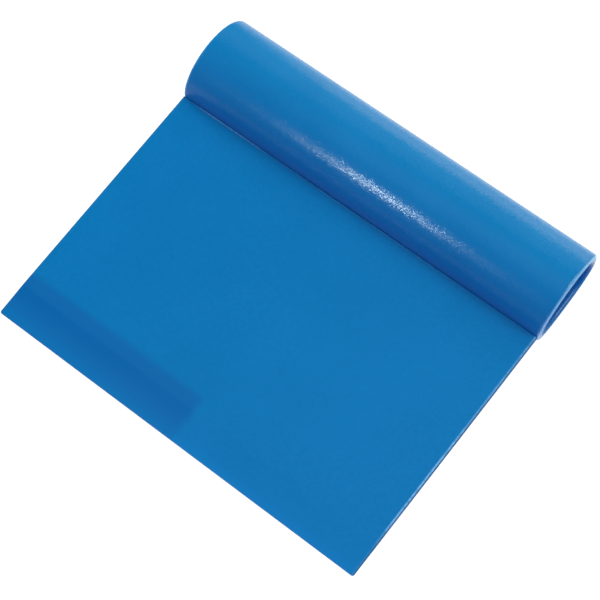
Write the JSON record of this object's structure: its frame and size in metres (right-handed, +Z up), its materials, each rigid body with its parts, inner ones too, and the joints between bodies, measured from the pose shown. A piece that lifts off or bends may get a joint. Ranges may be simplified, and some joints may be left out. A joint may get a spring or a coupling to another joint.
{
  "type": "dough scraper",
  "caption": "Plastic dough scraper: a flat rectangular blade that thins to a straight scraping edge, plugged into a hollow oval open-ended grip along its back.",
  "frame": {"origin": "middle of the footprint on the bench, with the tool lying at rest on the grip's underside and the scraping edge", "axes": "+X along the grip, towards the end shown open in the picture; +Y from the scraping edge towards the grip; +Z up from the bench"},
  "size_m": [0.152, 0.1362, 0.0277],
  "materials": {
    "grip_plastic": "satin blue, fine spark-eroded grain",
    "blade_plastic": "satin blue, smooth"
  },
  "bodies": {
    "root": {"handle": "grip_plastic", "blade": "blade_plastic"}
  },
  "joints": []
}
